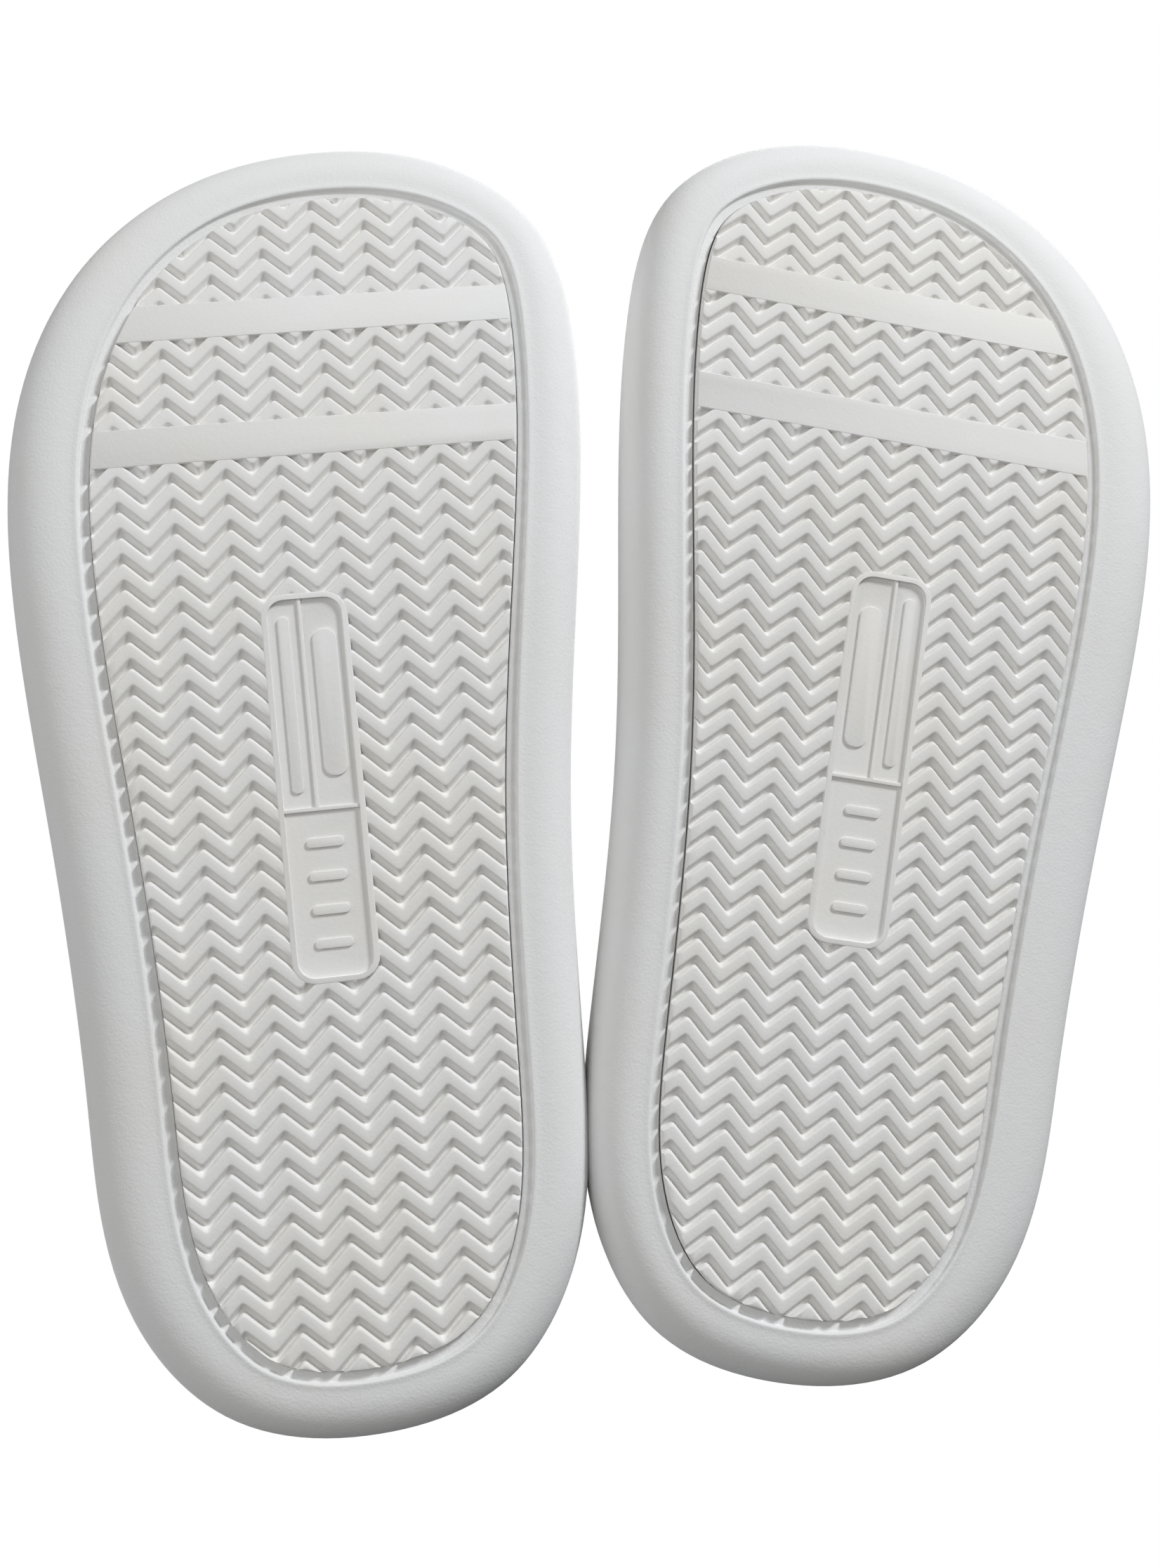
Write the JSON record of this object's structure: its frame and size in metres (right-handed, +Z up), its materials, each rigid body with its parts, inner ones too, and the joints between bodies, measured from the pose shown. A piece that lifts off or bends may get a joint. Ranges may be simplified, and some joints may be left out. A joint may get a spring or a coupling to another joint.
{
  "type": "pair of foam slide slippers",
  "caption": "Pair of open-toe foam slide slippers with a broad instep strap, a cupped footbed, a thick rounded rim and a herringbone tread; each sole flexes upward at the ball of the foot.",
  "frame": {"origin": "centre of the pair's footprint, on the ground", "axes": "+Z up, toes towards -Y, the left foot's slipper at +X"},
  "size_m": [0.2776, 0.3142, 0.0938],
  "materials": {
    "foam": "soft matte moulded foam, faintly grained",
    "tread": "satin moulded tread, slightly warmer than the foam",
    "lining": "fine-grained soft foam"
  },
  "bodies": {
    "left_slipper": {"left_tread_rear": "tread", "left_midsole_rear": "foam", "left_footbed_rear": "foam", "left_strap": "foam", "left_strap_lining": "lining"},
    "left_toe": {"left_tread_toe": "tread", "left_midsole_toe": "foam", "left_footbed_toe": "foam"},
    "right_slipper": {"right_tread_rear": "tread", "right_midsole_rear": "foam", "right_footbed_rear": "foam", "right_strap": "foam", "right_strap_lining": "lining"},
    "right_toe": {"right_tread_toe": "tread", "right_midsole_toe": "foam", "right_footbed_toe": "foam"}
  },
  "joints": [
    {"name": "left_toe_flex", "type": "hinge", "parent": "left_slipper", "child": "left_toe", "pos_m": [0.07666, -0.07633, 0.03428], "axis": [-0.989, -0.1478, 0], "range_deg": [0, 35], "stiffness_Nm_per_rad": 2.5},
    {"name": "right_slipper_lift", "type": "slide", "parent": "left_slipper", "child": "right_slipper", "axis": [0, 0, 1], "range_m": [0, 0.2]},
    {"name": "right_toe_flex", "type": "hinge", "parent": "right_slipper", "child": "right_toe", "pos_m": [-0.07607, -0.06939, 0.03428], "axis": [-0.9945, 0.1045, 0], "range_deg": [0, 35], "stiffness_Nm_per_rad": 2.5}
  ]
}
